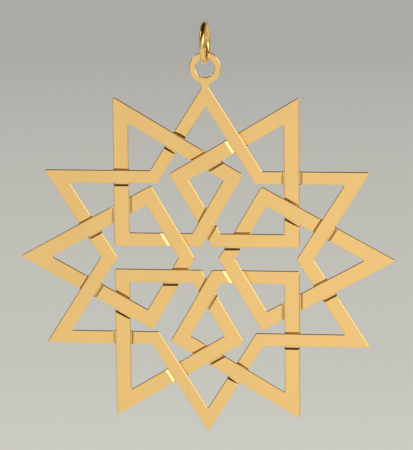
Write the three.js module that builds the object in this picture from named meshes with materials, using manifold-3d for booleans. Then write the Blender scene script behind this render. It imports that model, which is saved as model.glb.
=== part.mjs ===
// Star ornament: seven endless flat bands, woven over and under each other, hung on a jump ring.
// Six of the bands are kites and the seventh is a six-pointed star, whose top point ends in an eye.
// Millimetres, +Z up. The origin is the inner top of the jump ring, where a thread or a hook carries it,
// and the front of the ornament faces -Y.
// The bands are drawn in the plane of the sheet: x to the right, y up, z towards the viewer.

import * as THREE from "three";
import { mergeVertices } from "three/addons/utils/BufferGeometryUtils.js";
import Module from "manifold-3d";

const wasm = await Module();
wasm.setup();

// Span over the two side points. The whole pattern follows from it.
const STAR_SPAN = 76.3;

// Sheet and straps. The kites' straps are widest at their points and narrowest where they lie level,
// and the star's straps are widest at its side points.
const SHEET = 0.25;
const KITE_STRAP = 3.13;
const KITE_HEEL_STRAP = 2.96;
const KITE_LEVEL_STRAP = 2.72;
const STAR_STRAP = 2.63;
const STAR_SIDE_STRAP = 3.0;

// A strap is placed by its centreline: the angle of its outward normal in degrees, and its distance
// from the centre of the ornament. The side kites' legs reach the span, and the other straps' distances
// are shares of the distance of those legs.
const SIDE_KITE_LEG_ANGLE = 61.5;
const SIDE_KITE_HEEL = { angle: 30.8, share: 0.21 };
const UPRIGHT_KITE_LEG_SHARE = 1.033;
const UPRIGHT_KITE_SLANT = { angle: 59.4, share: 1.0167 };
const UPRIGHT_KITE_LEVEL_SHARE = 0.2225;
const UPRIGHT_KITE_RISE = { angle: 30.4, share: 0.215 };
const STAR_TOP_LEG = { angle: 32.4, share: 1.066 };
const STAR_SIDE_LEG = { angle: 32.6, share: 1.0048 };
const STAR_LEVEL_SHARE = 0.985;

// Corners of the straps, seen from the front
const TIP_RADIUS = 0.3;
const CORNER_RADIUS = 0.5;
const NOTCH_RADIUS = 0.15;
const SHARP_TURN = 100;

// Weave: the lower strap folds down just outside the upper strap's edges and runs under its back
const LAY_CLEARANCE = 0.05;
const FOLD_CLEARANCE = 0.24;
const FOLD_RUN = 0.45;

// Eye at the top point of the star band, on a narrow neck
const EYE_DIAMETER = 6.42;
const EYE_HOLE = 3.86;
const NECK_WIDTH = 1.66;
const NECK_FILLET = 1.03;

// Jump ring
const RING_DIAMETER = 8.65;
const RING_WIRE = 1.2;
const RING_CUT = 0.12;
const RING_CUT_ANGLE = -36;
const SEAT_CLEARANCE = 0.1;

// Fineness of the round shapes
const ARC_STEP = 15;
const EYE_STEP = 7.5;
const WIRE_SIDES = 16;
const RING_STEPS = 72;

const SAME_POINT = 1e-5;

const QUARTER_TURN = 90;
const HALF_TURN = 180;
const FULL_TURN = 360;
const DEG = Math.PI / HALF_TURN;

const GOLD = 0xe9bf74;
const PLATED_SHEET = 0.25;
const POLISHED_WIRE = 0.18;

// Points and lines in the plane of the sheet

function direction(angle) {
  return new THREE.Vector2(Math.cos(angle * DEG), Math.sin(angle * DEG));
}

// Where two straps meet. Side 0 takes their centrelines, 1 their outer edges and -1 their inner edges,
// all moved inwards by the inset.
function meeting(first, second, side = 0, inset = 0) {
  const a = direction(first.angle);
  const b = direction(second.angle);
  const p = first.offset + (side * first.width) / 2 - inset;
  const q = second.offset + (side * second.width) / 2 - inset;
  const scale = a.x * b.y - a.y * b.x;
  return new THREE.Vector2((p * b.y - q * a.y) / scale, (q * a.x - p * b.x) / scale);
}

function arc(centre, radius, from, to, step) {
  const count = Math.max(2, Math.ceil(Math.abs(to - from) / step));
  const points = [];
  for (let i = 0; i <= count; i += 1) {
    const angle = from + ((to - from) * i) / count;
    points.push(direction(angle).multiplyScalar(radius).add(centre));
  }
  return points;
}

// How far the outline turns from one strap to the next, positive to the left
function turn(first, second) {
  return THREE.MathUtils.euclideanModulo(second.angle - first.angle + HALF_TURN, FULL_TURN) - HALF_TURN;
}

function roundedCorner(first, second, side, radius) {
  const swing = turn(first, second);
  const centre = meeting(first, second, side, Math.sign(swing) * radius);
  const start = swing > 0 ? first.angle : first.angle + HALF_TURN;
  return arc(centre, radius, start, start + swing, ARC_STEP);
}

// One edge of a band. Metal that sticks out is rounded, and a notch keeps a small fillet.
function edge(straps, side, tips = {}) {
  const points = [];
  straps.forEach((strap, index) => {
    const next = straps[(index + 1) % straps.length];
    const swing = turn(strap, next);
    const sticksOut = swing * side > 0;
    const point = Math.abs(swing) > SHARP_TURN ? TIP_RADIUS : CORNER_RADIUS;
    const radius = sticksOut ? point : NOTCH_RADIUS;
    points.push(...(tips[index] ?? roundedCorner(strap, next, side, radius)));
  });
  return points;
}

// The eye stands on the star's top point. On each side of the neck a fillet touches the leg below it
// and the eye above it, and the neck's width sets how high the eye comes.
function eyeAbove(rightLeg) {
  const out = direction(rightLeg.angle);
  const radius = EYE_DIAMETER / 2;
  const filletX = NECK_WIDTH / 2 + NECK_FILLET;
  const filletY = (rightLeg.offset + rightLeg.width / 2 + NECK_FILLET - out.x * filletX) / out.y;
  const rise = Math.sqrt((radius + NECK_FILLET) ** 2 - filletX ** 2);
  const fillet = new THREE.Vector2(filletX, filletY);
  const centre = new THREE.Vector2(0, filletY + rise);
  const touch = Math.atan2(-rise, filletX) / DEG;
  const right = arc(fillet, NECK_FILLET, rightLeg.angle + HALF_TURN, touch + HALF_TURN, ARC_STEP);
  const round = arc(centre, radius, touch, HALF_TURN - touch, EYE_STEP).slice(1, -1);
  const left = right.map((point) => new THREE.Vector2(-point.x, point.y)).reverse();
  return {
    centre,
    outline: [...right, ...round, ...left],
    hole: arc(centre, EYE_HOLE / 2, 0, FULL_TURN, EYE_STEP).slice(1),
  };
}

// Solids, joined and cut

function toSolid(geometry) {
  const plain = geometry.clone();
  plain.deleteAttribute("normal");
  plain.deleteAttribute("uv");
  const merged = mergeVertices(plain, SAME_POINT);
  return new wasm.Manifold(new wasm.Mesh({
    numProp: 3,
    vertProperties: new Float32Array(merged.attributes.position.array),
    triVerts: new Uint32Array(merged.index.array),
  }));
}

function toGeometry(solid) {
  const { vertProperties, triVerts } = solid.getMesh();
  const geometry = new THREE.BufferGeometry();
  geometry.setAttribute("position", new THREE.BufferAttribute(vertProperties, 3));
  geometry.setIndex(new THREE.BufferAttribute(triVerts, 1));
  geometry.computeVertexNormals();
  return geometry;
}

// Bands: a closed row of straps, listed anticlockwise round the band.
// A strap's distance is negative where the centre of the ornament lies outside the band.

const tipLoss = TIP_RADIUS * (1 / direction(SIDE_KITE_LEG_ANGLE).x - 1);
const legDistance = (STAR_SPAN / 2 + tipLoss) * direction(SIDE_KITE_LEG_ANGLE).x - KITE_STRAP / 2;

function strap(angle, share, width) {
  return { angle, offset: share * legDistance, width };
}

function mirrored(straps, axis) {
  return straps.map((one) => ({ ...one, angle: 2 * axis - one.angle })).reverse();
}

const ACROSS = QUARTER_TURN;
const UPSIDE_DOWN = 0;

const upperLeft = [
  strap(HALF_TURN, UPRIGHT_KITE_LEG_SHARE, KITE_STRAP),
  strap(-QUARTER_TURN, -UPRIGHT_KITE_LEVEL_SHARE, KITE_LEVEL_STRAP),
  strap(-UPRIGHT_KITE_RISE.angle, -UPRIGHT_KITE_RISE.share, KITE_HEEL_STRAP),
  strap(UPRIGHT_KITE_SLANT.angle, UPRIGHT_KITE_SLANT.share, KITE_STRAP),
];
const upperRight = mirrored(upperLeft, ACROSS);
const right = [
  strap(SIDE_KITE_LEG_ANGLE, 1, KITE_STRAP),
  strap(HALF_TURN - SIDE_KITE_HEEL.angle, -SIDE_KITE_HEEL.share, KITE_HEEL_STRAP),
  strap(HALF_TURN + SIDE_KITE_HEEL.angle, -SIDE_KITE_HEEL.share, KITE_HEEL_STRAP),
  strap(-SIDE_KITE_LEG_ANGLE, 1, KITE_STRAP),
];

const kites = [
  { name: "kite_band_right", straps: right },
  { name: "kite_band_upper_right", straps: upperRight },
  { name: "kite_band_upper_left", straps: upperLeft },
  { name: "kite_band_left", straps: mirrored(right, ACROSS) },
  { name: "kite_band_lower_left", straps: mirrored(upperLeft, UPSIDE_DOWN) },
  { name: "kite_band_lower_right", straps: mirrored(upperRight, UPSIDE_DOWN) },
];

// The star's straps come in pairs, one pair for each point, from the point at the upper right on
const level = strap(QUARTER_TURN, STAR_LEVEL_SHARE, STAR_STRAP);
const topLeg = strap(STAR_TOP_LEG.angle, STAR_TOP_LEG.share, STAR_STRAP);
const sideLeg = strap(STAR_SIDE_LEG.angle, STAR_SIDE_LEG.share, STAR_SIDE_STRAP);
const lowerLeftSideLeg = strap(HALF_TURN + STAR_SIDE_LEG.angle, STAR_SIDE_LEG.share, STAR_SIDE_STRAP);
const lowerLeftLeg = strap(HALF_TURN + STAR_TOP_LEG.angle, STAR_TOP_LEG.share, STAR_STRAP);
const starStraps = [
  ...mirrored([sideLeg], UPSIDE_DOWN),
  level,
  topLeg,
  ...mirrored([topLeg], ACROSS),
  level,
  lowerLeftSideLeg,
  ...mirrored([sideLeg], ACROSS),
  ...mirrored([level], UPSIDE_DOWN),
  lowerLeftLeg,
  ...mirrored([topLeg], UPSIDE_DOWN),
  ...mirrored([level], UPSIDE_DOWN),
  sideLeg,
];
const eye = eyeAbove(topLeg);
const star = {
  name: "star_band",
  straps: starStraps,
  tips: { [starStraps.indexOf(topLeg)]: eye.outline },
  hole: eye.hole,
};

// Crossings: round every band the straps go over and under by turns
const crossings = [];
kites.forEach((kite, index) => {
  const next = kites[(index + 1) % kites.length];
  const outgoing = 2 * index;
  const incoming = (outgoing + starStraps.length - 1) % starStraps.length;
  crossings.push({ over: { band: star, strap: outgoing }, under: { band: kite, strap: 0 } });
  crossings.push({ over: { band: kite, strap: 3 }, under: { band: star, strap: incoming } });
  crossings.push({ over: { band: kite, strap: 0 }, under: { band: next, strap: 3 } });
  crossings.push({ over: { band: next, strap: 2 }, under: { band: kite, strap: 1 } });
});

// The fold in a lower strap, seen along the upper strap: half widths of the trough and of the whole fold
const DIP = SHEET + LAY_CLEARANCE;
const BEND_SHIFT = SHEET * Math.tan(Math.atan2(DIP, FOLD_RUN) / 2);
const FOLD_OVERLAP = 0.3;

function foldSection(upperWidth) {
  const trough = upperWidth / 2 + FOLD_CLEARANCE;
  const rim = trough + FOLD_RUN;
  const end = rim + BEND_SHIFT + FOLD_OVERLAP;
  const face = SHEET / 2;
  const half = [
    [trough, face - DIP],
    [rim, face],
    [end, face],
    [end, -face],
    [rim + BEND_SHIFT, -face],
    [trough + BEND_SHIFT, -face - DIP],
  ];
  const otherHalf = half.map(([x, y]) => [-x, y]).reverse();
  const points = [...otherHalf, ...half].map(([x, y]) => new THREE.Vector2(x, y));
  return { rim: rim + BEND_SHIFT, end, points };
}

// A shape drawn across the upper strap and drawn out along it, centred on the crossing
function alongUpper(shape, upper, lower, length) {
  const geometry = new THREE.ExtrudeGeometry(shape, { depth: length, bevelEnabled: false });
  geometry.translate(0, 0, -length / 2);
  const across = direction(upper.angle);
  const place = meeting(upper, lower);
  const frame = new THREE.Matrix4().makeBasis(
    new THREE.Vector3(across.x, across.y, 0),
    new THREE.Vector3(0, 0, 1),
    new THREE.Vector3(across.y, -across.x, 0),
  );
  frame.setPosition(place.x, place.y, 0);
  geometry.applyMatrix4(frame);
  return geometry;
}

function boxShape(halfWidth, halfHeight) {
  return new THREE.Shape([
    new THREE.Vector2(-halfWidth, -halfHeight),
    new THREE.Vector2(halfWidth, -halfHeight),
    new THREE.Vector2(halfWidth, halfHeight),
    new THREE.Vector2(-halfWidth, halfHeight),
  ]);
}

// The flat sheet of a band with a fold at each place where the band goes under another
function foldedSheet(band, size) {
  let sheet = toSolid(new THREE.BoxGeometry(size, size, SHEET));
  crossings.filter(({ under }) => under.band === band).forEach(({ over, under }) => {
    const upper = over.band.straps[over.strap];
    const lower = band.straps[under.strap];
    const section = foldSection(upper.width);
    const angle = Math.abs(turn(upper, lower)) * DEG;
    const halfStrap = lower.width / 2 / Math.sin(angle);
    const slant = section.end * Math.abs(Math.cos(angle) / Math.sin(angle));
    const length = 2 * (halfStrap + slant + FOLD_OVERLAP);
    const gap = alongUpper(boxShape(section.rim, SHEET), upper, lower, length);
    const fold = alongUpper(new THREE.Shape(section.points), upper, lower, length);
    sheet = sheet.subtract(toSolid(gap)).add(toSolid(fold));
  });
  return sheet;
}

function bandGeometry(band) {
  const outline = new THREE.Shape(edge(band.straps, 1, band.tips));
  outline.holes.push(new THREE.Path(edge(band.straps, -1)));
  if (band.hole) {
    outline.holes.push(new THREE.Path(band.hole));
  }
  const depth = 2 * (SHEET + DIP);
  const prism = new THREE.ExtrudeGeometry(outline, { depth, bevelEnabled: false });
  prism.translate(0, 0, -depth / 2);
  const farthest = Math.max(...outline.getPoints().map((point) => point.length()));
  const sheet = foldedSheet(band, 2 * farthest + KITE_STRAP);
  return toGeometry(sheet.intersect(toSolid(prism)));
}

// Jump ring: round wire bent to a circle, with the narrow cut where it was closed
class RingCurve extends THREE.Curve {
  constructor(radius, from, to) {
    super();
    this.radius = radius;
    this.from = from;
    this.to = to;
  }

  getPoint(t, target = new THREE.Vector3()) {
    const angle = (this.from + (this.to - this.from) * t) * DEG;
    return target.set(0, this.radius * Math.cos(angle), this.radius * Math.sin(angle));
  }
}

function ringGeometry() {
  const radius = (RING_DIAMETER - RING_WIRE) / 2;
  const halfCut = RING_CUT / 2 / radius / DEG;
  const path = new RingCurve(radius, RING_CUT_ANGLE + halfCut, RING_CUT_ANGLE + FULL_TURN - halfCut);
  const round = arc(new THREE.Vector2(), RING_WIRE / 2, 0, FULL_TURN, FULL_TURN / WIRE_SIDES);
  const wire = new THREE.Shape(round.slice(1));
  return new THREE.ExtrudeGeometry(wire, { steps: RING_STEPS, extrudePath: path, bevelEnabled: false });
}

function goldMesh(name, geometry, roughness) {
  const material = new THREE.MeshStandardMaterial({ color: GOLD, roughness, metalness: 1 });
  const mesh = new THREE.Mesh(geometry, material);
  mesh.name = name;
  return mesh;
}

const ornament = new THREE.Group();

const ringInner = RING_DIAMETER / 2 - RING_WIRE;
const jumpRing = goldMesh("jump_ring", ringGeometry(), POLISHED_WIRE);
jumpRing.position.z = -ringInner;
ornament.add(jumpRing);

// The top of the eye's hole hangs on the wire at the bottom of the jump ring
const woven = new THREE.Group();
woven.rotation.x = Math.PI / 2;
woven.position.z = -2 * ringInner + SEAT_CLEARANCE - eye.centre.y - EYE_HOLE / 2;
[star, ...kites].forEach((band) => {
  woven.add(goldMesh(band.name, bandGeometry(band), PLATED_SHEET));
});
ornament.add(woven);

export default ornament;
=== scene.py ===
# Looks for the hanging star ornament: seven woven gold-plated bands on a bright wire jump ring.
# Metres. The front of the ornament faces -Y, and the origin is the inner top of the jump ring.

import math

import bmesh
import bpy
from mathutils import Matrix, Vector


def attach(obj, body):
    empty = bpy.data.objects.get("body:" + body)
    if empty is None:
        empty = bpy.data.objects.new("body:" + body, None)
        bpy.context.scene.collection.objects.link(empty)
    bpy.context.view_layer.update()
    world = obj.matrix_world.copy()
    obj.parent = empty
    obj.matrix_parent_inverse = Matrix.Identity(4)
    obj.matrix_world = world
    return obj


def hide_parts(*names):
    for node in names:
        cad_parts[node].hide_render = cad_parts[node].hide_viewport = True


MM = 0.001

# Camera, as the photograph was taken: a long lens half a metre away, a little to the right and above
CAMERA_AZIMUTH = math.radians(8.15)
CAMERA_ELEVATION = math.radians(8.49)
CAMERA_ROLL = math.radians(-0.518)
CAMERA_DISTANCE = 0.5346
CAMERA_AIM = Vector((0.000027, 0, -0.039929))
LENS = 211.66
SENSOR = 36

# Sheet metal of the bands. The sheet turns by an angle between the two BEND_ANGLES at a bend, and by
# more than RIM_ANGLE at a rim, where a face meets the cut edge.
MERGE_DISTANCE = 0.002 * MM
FLAT_ANGLE = math.radians(0.6)
BEND_ANGLES = (math.radians(20), math.radians(50))
RIM_ANGLE = math.radians(60)
BEND_ROUNDING = 0.1 * MM
BEND_SEGMENTS = 6

# Share of a face's normal that points through the sheet: above FACE_LEVEL on the front and the back,
# slopes included, and below FLAT_LEVEL on a slope
FACE_LEVEL = 0.5
FLAT_LEVEL = 0.97

# Folds: how far from the crossing strap's edge one ends in the solid, how far here, and how long it is.
# They were pressed a little off centre, so on the lean's side they lie nearer the crossing strap.
SOLID_FOLD_GAP = 0.24 * MM
FOLD_GAP = 0.18 * MM
FOLD_RUN = 0.35 * MM
FOLD_LEAN = 0.12 * MM * Vector((-0.5, 0, 0.866))

# Rounding of the outline on the front, where the sheet was rolled over in stamping, and on the back
FRONT_ROUNDING = 0.19 * MM
BACK_ROUNDING = 0.05 * MM
ROUNDING_SEGMENTS = 6

# Jump ring. Its radius is to the middle of the wire, and it stays a hair inside the solid.
RING_RADIUS = 3.724 * MM
RING_WIRE_RADIUS = 0.6 * MM
RING_CENTRE = Vector((0, 0, -3.125 * MM))
RING_CUT_ANGLE = math.radians(-36)
RING_CUT = 0.12 * MM
RING_STEPS = 128
WIRE_SIDES = 32
WIRE_END_ROUNDING = 0.08 * MM
WIRE_END_SEGMENTS = 3

# Colours, linear
GOLD = (0.823, 0.533, 0.203, 1)
# Paler, brighter gold for the rims and bends: a painted sheen
RIM_SHEEN_GOLD = (0.9, 0.62, 0.27, 1)
# Dull, darker colour for the upright cut edges: painted shade along the outline
CUT_SHADE_GOLD = (0.46, 0.41, 0.3, 1)
WIRE_GOLD = (0.86, 0.57, 0.2, 1)
# The floor colours paint a pool of light: palest right under the ornament and dimmer far off
FLOOR_UNDER = (0.8, 0.79, 0.74, 1)
FLOOR_NEAR = (0.6, 0.597, 0.545, 1)
FLOOR_FAR = (0.446, 0.439, 0.412, 1)
CEILING_LEFT = (0.25, 0.17, 0.08, 1)
CEILING_RIGHT = (0.45, 0.34, 0.2, 1)
LOFT = (0.03, 0.02, 0.008, 1)
ROOM_LIGHT = (0.91, 0.91, 0.91, 1)

# Gold finishes. The faces of the bands are a little rougher than their rims.
BAND_FINISH = {
    "colour": GOLD,
    "rim_sheen_colour": RIM_SHEEN_GOLD,
    "cut_shade_colour": CUT_SHADE_GOLD,
    "roughness": 0.18,
    "rim_roughness": 0.13,
    "wave_height": 0.004 * MM,
}
WIRE_FINISH = {
    "colour": WIRE_GOLD,
    "rim_sheen_colour": WIRE_GOLD,
    "cut_shade_colour": WIRE_GOLD,
    "roughness": 0.13,
    "rim_roughness": 0.13,
    "wave_height": 0.01 * MM,
}

# Marks in the plating. Scratches and clouds begin at the first of their two levels of a noise, and are
# full at the second. Clouds change the colour by a factor and the roughness by a sum.
SCRATCH_SCALE = 900
UPRIGHT_SCRATCHES = {"angle": math.radians(4), "stretch": 30}
SLANTING_SCRATCHES = {"angle": math.radians(-57), "stretch": 22}
SCRATCH_LEVELS = (0.6, 0.72)
SCRATCH_ROUGHNESS = 0.03
SCRATCH_STRENGTH = 0.1
SCRATCH_DEPTH = 0.002 * MM
CLOUD_SCALE = 90
CLOUD_LEVELS = (0.35, 0.65)
CLOUD_SHADES = (0.965, 1.025)
CLOUD_ROUGHNESS = (-0.02, 0.03)
WAVE_SCALE = 40

# Rims and cut edges, by the share of the normal that points through the sheet: full colour up to the first
# level, and none from the second on. The rims' colour is a painted sheen, and the cut edges' colour is
# painted shade.
RIM_LEVELS = (0.9, 0.99)
CUT_SHADE_LEVELS = (0.3, 0.5)

# Studio: a floor far below the ornament, whose colour changes with the distance from the origin: a painted
# pool of light, palest under the ornament and dimmer far off
FLOOR_DROP = 0.5
FLOOR_REACH = 40
FLOOR_SIDES = 96
UNDER_FLOOR = 0.5
NEAR_FLOOR = 2.2
FAR_FLOOR = 6.0

# The room by direction from the object: pale walls, then a brown ceiling that is lighter to the right,
# then a dark loft
CEILING_HEIGHTS = (0.05, 0.28)
CEILING_SIDES = (-0.7, 0.1)
LOFT_HEIGHTS = (0.45, 0.7)

# Softboxes, all turned to one point of the ornament. Radiance is how bright the lit face is, and the
# face's height runs in the upright direction.
LIGHTS_AIM = (0, 0, -0.045)
SOFTBOXES = {
    "front_softbox": {
        "place": (-0.12, -1.3, -0.06), "width": 0.8, "height": 0.75,
        "radiance": 0.485, "upright": (0, 0, 1),
    },
    "right_softbox": {
        "place": (0.2, -1.25, -0.06), "width": 0.72, "height": 0.75,
        "radiance": 0.11, "upright": (0, 0, 1),
    },
    "key_softbox": {
        "place": (0.68, -0.63, 0.3), "width": 0.65, "height": 1.2,
        "radiance": 1.8, "upright": (0.622, 0.792, 0.414),
    },
    "left_softbox": {
        "place": (-0.785, -0.15, 0.56), "width": 0.13, "height": 0.38,
        "radiance": 5.0, "upright": (0.193, 0.829, 0.525),
    },
}

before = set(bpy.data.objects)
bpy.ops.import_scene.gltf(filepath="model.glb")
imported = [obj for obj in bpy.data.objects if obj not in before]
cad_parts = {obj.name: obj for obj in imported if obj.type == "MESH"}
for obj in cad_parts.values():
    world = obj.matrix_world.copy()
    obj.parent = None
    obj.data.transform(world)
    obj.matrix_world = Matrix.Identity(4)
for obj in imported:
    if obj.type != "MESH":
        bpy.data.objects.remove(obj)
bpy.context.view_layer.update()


# Camera

def camera_matrix():
    side = math.sin(CAMERA_AZIMUTH)
    front = math.cos(CAMERA_AZIMUTH)
    level = math.cos(CAMERA_ELEVATION)
    back = Vector((side * level, -front * level, math.sin(CAMERA_ELEVATION)))
    right = Vector((front, side, 0))
    up = back.cross(right)
    turned = Matrix((right, up, back)).transposed() @ Matrix.Rotation(CAMERA_ROLL, 3, "Z")
    place = turned.to_4x4()
    place.translation = CAMERA_AIM + back * CAMERA_DISTANCE
    return place


def make_camera():
    data = bpy.data.cameras.new("camera")
    data.sensor_width = SENSOR
    data.sensor_fit = "AUTO"
    data.lens = LENS
    camera = bpy.data.objects.new("camera", data)
    camera.matrix_world = camera_matrix()
    bpy.context.scene.collection.objects.link(camera)
    bpy.context.scene.camera = camera


# Small helpers for node trees

def add_node(tree, kind, **values):
    node = tree.nodes.new(kind)
    for name, value in values.items():
        setattr(node, name, value)
    return node


def set_inputs(node, **values):
    for name, value in values.items():
        node.inputs[name.replace("_", " ")].default_value = value


def feed(tree, socket, value):
    """Links a socket to another one, or sets it to a plain value."""
    if isinstance(value, bpy.types.NodeSocket):
        tree.links.new(value, socket)
    else:
        socket.default_value = value


def maths(tree, operation, first, second=0):
    node = add_node(tree, "ShaderNodeMath", operation=operation)
    feed(tree, node.inputs[0], first)
    feed(tree, node.inputs[1], second)
    return node.outputs[0]


def spread(tree, value, low, high, to_low, to_high):
    node = add_node(tree, "ShaderNodeMapRange", clamp=True)
    tree.links.new(value, node.inputs["Value"])
    set_inputs(node, From_Min=low, From_Max=high, To_Min=to_low, To_Max=to_high)
    return node.outputs["Result"]


def blend_colours(tree, factor, first, second):
    node = add_node(tree, "ShaderNodeMix", data_type="RGBA")
    tree.links.new(factor, node.inputs["Factor"])
    feed(tree, node.inputs[6], first)
    feed(tree, node.inputs[7], second)
    return node.outputs[2]


# Studio

def make_floor():
    mesh = bpy.data.meshes.new("floor")
    shape = bmesh.new()
    bmesh.ops.create_circle(shape, cap_ends=True, segments=FLOOR_SIDES, radius=FLOOR_REACH)
    bmesh.ops.translate(shape, verts=shape.verts, vec=(0, 0, -FLOOR_DROP))
    shape.to_mesh(mesh)
    shape.free()
    floor = bpy.data.objects.new("floor", mesh)
    bpy.context.scene.collection.objects.link(floor)

    paper = bpy.data.materials.new("floor_paper_and_painted_light")
    paper.use_nodes = True
    tree = paper.node_tree
    shader = tree.nodes["Principled BSDF"]
    set_inputs(shader, Roughness=1, Specular_IOR_Level=0)
    place = add_node(tree, "ShaderNodeTexCoord").outputs["Object"]
    length = add_node(tree, "ShaderNodeVectorMath", operation="LENGTH")
    tree.links.new(place, length.inputs[0])
    near = spread(tree, length.outputs["Value"], UNDER_FLOOR, NEAR_FLOOR, 0, 1)
    far = spread(tree, length.outputs["Value"], NEAR_FLOOR, FAR_FLOOR, 0, 1)
    # The colour is a painted pool of light: palest under the ornament, dimmer with the distance
    colour = blend_colours(tree, near, FLOOR_UNDER, FLOOR_NEAR)
    colour = blend_colours(tree, far, colour, FLOOR_FAR)
    tree.links.new(colour, shader.inputs["Base Color"])
    mesh.materials.append(paper)


def make_room():
    """The camera and reflections see the painted room, and everything else is lit by a plain pale one."""
    world = bpy.data.worlds.new("room")
    bpy.context.scene.world = world
    world.use_nodes = True
    tree = world.node_tree
    background = tree.nodes["Background"]
    direction = add_node(tree, "ShaderNodeTexCoord").outputs["Generated"]
    axes = add_node(tree, "ShaderNodeSeparateXYZ")
    tree.links.new(direction, axes.inputs[0])
    side = spread(tree, axes.outputs["X"], *CEILING_SIDES, 0, 1)
    height = spread(tree, axes.outputs["Z"], *CEILING_HEIGHTS, 0, 1)
    overhead = spread(tree, axes.outputs["Z"], *LOFT_HEIGHTS, 0, 1)
    ceiling = blend_colours(tree, side, CEILING_LEFT, CEILING_RIGHT)
    seen = blend_colours(tree, height, FLOOR_FAR, ceiling)
    seen = blend_colours(tree, overhead, seen, LOFT)
    path = add_node(tree, "ShaderNodeLightPath")
    looked_at = maths(tree, "ADD", path.outputs["Is Camera Ray"], path.outputs["Is Glossy Ray"])
    looked_at = maths(tree, "ADD", looked_at, path.outputs["Is Transmission Ray"])
    looked_at = maths(tree, "MINIMUM", looked_at, 1)
    colour = blend_colours(tree, looked_at, ROOM_LIGHT, seen)
    tree.links.new(colour, background.inputs["Color"])
    set_inputs(background, Strength=1)


def make_softbox(name, place, width, height, radiance, upright):
    data = bpy.data.lights.new(name, "AREA")
    data.shape = "RECTANGLE"
    data.size = width
    data.size_y = height
    data.energy = radiance * math.pi * width * height
    lamp = bpy.data.objects.new(name, data)
    lamp.location = place
    back = (Vector(place) - Vector(LIGHTS_AIM)).normalized()
    across = Vector(upright).cross(back).normalized()
    turned = Matrix((across, back.cross(across), back)).transposed()
    lamp.rotation_mode = "QUATERNION"
    lamp.rotation_quaternion = turned.to_quaternion()
    lamp.visible_camera = False
    bpy.context.scene.collection.objects.link(lamp)


# Finishes

def new_group(name, inputs, outputs):
    group = bpy.data.node_groups.new(name, "ShaderNodeTree")
    for in_out, socket_names in (("INPUT", inputs), ("OUTPUT", outputs)):
        for socket_name in socket_names:
            group.interface.new_socket(name=socket_name, in_out=in_out, socket_type="NodeSocketFloat")
    return group


def marks_and_painted_edges_group():
    """Fine marks of polished plating: hair scratches both ways, faint clouding and a slow waviness, with
    masks for the painted sheen on the rims and bends and the painted shade on the cut edges.
    """
    group = new_group(
        "marks_and_painted_edges",
        ("Scratch Scale", "Cloud Scale", "Wave Scale"),
        ("Scratches", "Clouds", "Waves", "Rim", "Cut Shade"),
    )
    source = group.nodes.new("NodeGroupInput")
    sink = group.nodes.new("NodeGroupOutput")
    place = add_node(group, "ShaderNodeTexCoord").outputs["Object"]

    def pattern(where, scale, detail, roughness):
        noise = add_node(group, "ShaderNodeTexNoise")
        group.links.new(where, noise.inputs["Vector"])
        group.links.new(source.outputs[scale], noise.inputs["Scale"])
        set_inputs(noise, Detail=detail, Roughness=roughness)
        return noise.outputs["Fac"]

    def scratched(angle, stretch):
        turned = add_node(group, "ShaderNodeMapping")
        set_inputs(turned, Rotation=(0, angle, 0), Scale=(1, 1, 1 / stretch))
        group.links.new(place, turned.inputs["Vector"])
        noise = pattern(turned.outputs["Vector"], "Scratch Scale", detail=2, roughness=0.6)
        return spread(group, noise, *SCRATCH_LEVELS, 0, 1)

    both = maths(group, "MAXIMUM", scratched(**UPRIGHT_SCRATCHES), scratched(**SLANTING_SCRATCHES))
    group.links.new(both, sink.inputs["Scratches"])
    group.links.new(pattern(place, "Cloud Scale", detail=4, roughness=0.55), sink.inputs["Clouds"])
    group.links.new(pattern(place, "Wave Scale", detail=1, roughness=0.4), sink.inputs["Waves"])

    # What doesn't lie level with the sheet's front and back is a rounded rim or a bend, and what stands
    # upright on it is the cut edge. These masks place a painted sheen on the rims and bends, and painted
    # shade on the cut edges.
    facing = add_node(group, "ShaderNodeSeparateXYZ")
    group.links.new(add_node(group, "ShaderNodeTexCoord").outputs["Normal"], facing.inputs[0])
    level = maths(group, "ABSOLUTE", facing.outputs["Y"])
    group.links.new(spread(group, level, *RIM_LEVELS, 1, 0), sink.inputs["Rim"])
    group.links.new(spread(group, level, *CUT_SHADE_LEVELS, 1, 0), sink.inputs["Cut Shade"])
    return group


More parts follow.
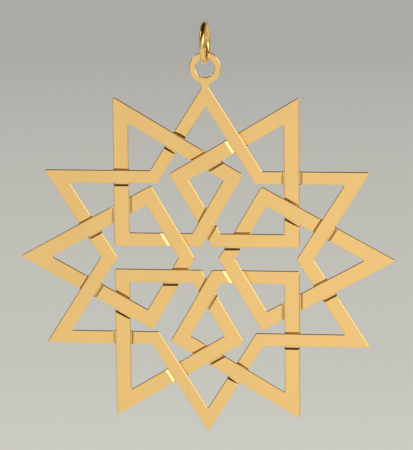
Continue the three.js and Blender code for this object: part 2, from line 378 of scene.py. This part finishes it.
def gold_material(name, marks, colour, rim_sheen_colour, cut_shade_colour, roughness, rim_roughness, wave_height):
    material = bpy.data.materials.new(name)
    material.use_nodes = True
    tree = material.node_tree
    shader = tree.nodes["Principled BSDF"]
    set_inputs(shader, Metallic=1)
    detail = add_node(tree, "ShaderNodeGroup", node_tree=marks)
    set_inputs(detail, Scratch_Scale=SCRATCH_SCALE, Cloud_Scale=CLOUD_SCALE, Wave_Scale=WAVE_SCALE)
    rim = detail.outputs["Rim"]

    dark, light = ([min(1, shade * part) for part in colour[:3]] + [1] for shade in CLOUD_SHADES)
    clouds = spread(tree, detail.outputs["Clouds"], *CLOUD_LEVELS, 0, 1)
    face = blend_colours(tree, clouds, dark, light)
    # Painted sheen: the rims and bends take the paler gold
    base = blend_colours(tree, rim, face, rim_sheen_colour)
    # Painted shade: the upright cut edges take the dull, dark colour
    base = blend_colours(tree, detail.outputs["Cut Shade"], base, cut_shade_colour)
    tree.links.new(base, shader.inputs["Base Color"])

    least, most = (roughness + change for change in CLOUD_ROUGHNESS)
    cloudy_roughness = spread(tree, detail.outputs["Clouds"], *CLOUD_LEVELS, least, most)
    scratched = maths(tree, "MULTIPLY", detail.outputs["Scratches"], SCRATCH_ROUGHNESS)
    worn = maths(tree, "ADD", cloudy_roughness, scratched)
    polished = add_node(tree, "ShaderNodeMix", data_type="FLOAT")
    tree.links.new(rim, polished.inputs["Factor"])
    feed(tree, polished.inputs[2], worn)
    feed(tree, polished.inputs[3], rim_roughness)
    tree.links.new(polished.outputs[0], shader.inputs["Roughness"])

    waviness = add_node(tree, "ShaderNodeBump")
    set_inputs(waviness, Strength=1, Distance=wave_height)
    tree.links.new(detail.outputs["Waves"], waviness.inputs["Height"])
    hairs = add_node(tree, "ShaderNodeBump", invert=True)
    set_inputs(hairs, Strength=SCRATCH_STRENGTH, Distance=SCRATCH_DEPTH)
    tree.links.new(detail.outputs["Scratches"], hairs.inputs["Height"])
    tree.links.new(waviness.outputs["Normal"], hairs.inputs["Normal"])
    tree.links.new(hairs.outputs["Normal"], shader.inputs["Normal"])
    return material


# Pieces

def finished_piece(name, shape, material, body, slot, *nodes):
    mesh = bpy.data.meshes.new(name)
    for face in shape.faces:
        face.smooth = True
    shape.to_mesh(mesh)
    shape.free()
    mesh.materials.append(material)
    piece = bpy.data.objects.new(name, mesh)
    bpy.context.scene.collection.objects.link(piece)
    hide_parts(*nodes)
    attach(piece, body)
    return piece


def even_shading(piece):
    """Lets the large flat faces set the shading, so that they stay flat up to their rounded rims."""
    evened = piece.modifiers.new("even_shading", "WEIGHTED_NORMAL")
    evened.weight = 100
    evened.keep_sharp = False


def cleaned_solid(node):
    """A copy of a CAD solid with its loose triangles joined into whole flat faces."""
    shape = bmesh.new()
    shape.from_mesh(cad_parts[node].data)
    bmesh.ops.remove_doubles(shape, verts=shape.verts, dist=MERGE_DISTANCE)
    bmesh.ops.dissolve_limit(shape, angle_limit=FLAT_ANGLE, verts=shape.verts, edges=shape.edges)
    return shape


def is_bend(edge):
    """True for a bend of the sheet, which runs level with its front, and not for a rim or a corner."""
    first, second = edge.verts
    least, most = BEND_ANGLES
    return abs(first.co.y - second.co.y) < MERGE_DISTANCE and least < edge.calc_face_angle(0) < most


def press_folds(shape):
    """Makes the folds short and crisp, by moving their lines along the straps."""
    slopes = [face for face in shape.faces if FACE_LEVEL < abs(face.normal.y) < FLAT_LEVEL]
    for face in slopes:
        # Level direction from the fold to the strap that it goes under
        inward = face.normal * (-1 if face.normal.y > 0 else 1)
        inward = Vector((inward.x, 0, inward.z)).normalized()
        gap = FOLD_GAP + FOLD_LEAN.dot(inward)
        for edge in face.edges:
            start, end = sorted(edge.verts, key=lambda vert: vert.co.y)
            along = end.co - start.co
            # The two fold lines run level, and are moved by the ends of the slope's two side edges
            if along.y < MERGE_DISTANCE:
                continue
            along.y = 0
            along /= along.dot(inward)
            end.co += along * (SOLID_FOLD_GAP - gap)
            height = start.co.y
            start.co = end.co - along * FOLD_RUN
            start.co.y = height
    shape.normal_update()


def weigh_outline(shape):
    """Sets how much of the full rounding each edge of a band's outline gets."""
    weight = shape.edges.layers.float.new("bevel_weight_edge")
    for edge in shape.edges:
        if edge.calc_face_angle(0) > RIM_ANGLE:
            front = any(face.normal.y < -FACE_LEVEL for face in edge.link_faces)
            edge[weight] = 1 if front else BACK_ROUNDING / FRONT_ROUNDING


def make_bands(material):
    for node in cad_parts:
        if node == "jump_ring":
            continue
        shape = cleaned_solid(node)
        press_folds(shape)
        weigh_outline(shape)
        bmesh.ops.bevel(
            shape, geom=[edge for edge in shape.edges if is_bend(edge)], offset=BEND_ROUNDING,
            offset_type="OFFSET", segments=BEND_SEGMENTS, profile=0.5, affect="EDGES",
            clamp_overlap=False, material=-1,
        )
        piece = finished_piece(node + "_sheet", shape, material, "star", "band_gold", node)
        rounding = piece.modifiers.new("rounding", "BEVEL")
        rounding.limit_method = "WEIGHT"
        rounding.width = FRONT_ROUNDING
        rounding.segments = ROUNDING_SEGMENTS
        rounding.use_clamp_overlap = False
        even_shading(piece)


def make_ring(material):
    shape = bmesh.new()
    wire = bmesh.ops.create_circle(shape, cap_ends=False, segments=WIRE_SIDES, radius=RING_WIRE_RADIUS)
    bmesh.ops.translate(shape, verts=wire["verts"], vec=(RING_RADIUS, 0, 0))
    # The circle is made lying flat, and is turned to stand across the wire before it is spun round
    bmesh.ops.rotate(shape, verts=shape.verts, cent=(0, 0, 0), matrix=Matrix.Rotation(math.pi / 2, 3, "X"))
    bmesh.ops.spin(
        shape, geom=shape.verts[:] + shape.edges[:], cent=(0, 0, 0), axis=(0, 0, 1),
        angle=2 * math.pi - RING_CUT / RING_RADIUS, steps=RING_STEPS, use_merge=False,
    )
    ends = [edge for edge in shape.edges if edge.is_boundary]
    bmesh.ops.holes_fill(shape, edges=ends, sides=0)
    bmesh.ops.recalc_face_normals(shape, faces=shape.faces)
    end_rims = [edge for edge in shape.edges if edge.calc_face_angle(0) > RIM_ANGLE]
    bmesh.ops.bevel(
        shape, geom=end_rims, offset=WIRE_END_ROUNDING, offset_type="OFFSET",
        segments=WIRE_END_SEGMENTS, profile=0.5, affect="EDGES", clamp_overlap=True, material=-1,
    )
    # Stand the ring up in its own plane, with its cut at the back, and hang it
    start = Matrix.Rotation(RING_CUT / RING_RADIUS / 2, 3, "Z")
    upright = Matrix(((0, 0, 1), (1, 0, 0), (0, 1, 0)))
    cut = Matrix.Rotation(RING_CUT_ANGLE, 3, "X")
    bmesh.ops.rotate(shape, verts=shape.verts, cent=(0, 0, 0), matrix=cut @ upright @ start)
    bmesh.ops.translate(shape, verts=shape.verts, vec=RING_CENTRE)
    even_shading(finished_piece("jump_ring_wire", shape, material, "ring", "ring_gold", "jump_ring"))


make_camera()
make_floor()
make_room()
for softbox, setting in SOFTBOXES.items():
    make_softbox(softbox, **setting)
marks_and_painted_edges = marks_and_painted_edges_group()
make_bands(gold_material("band_gold", marks_and_painted_edges, **BAND_FINISH))
make_ring(gold_material("wire_gold", marks_and_painted_edges, **WIRE_FINISH))

bpy.context.scene.view_settings.view_transform = "Standard"
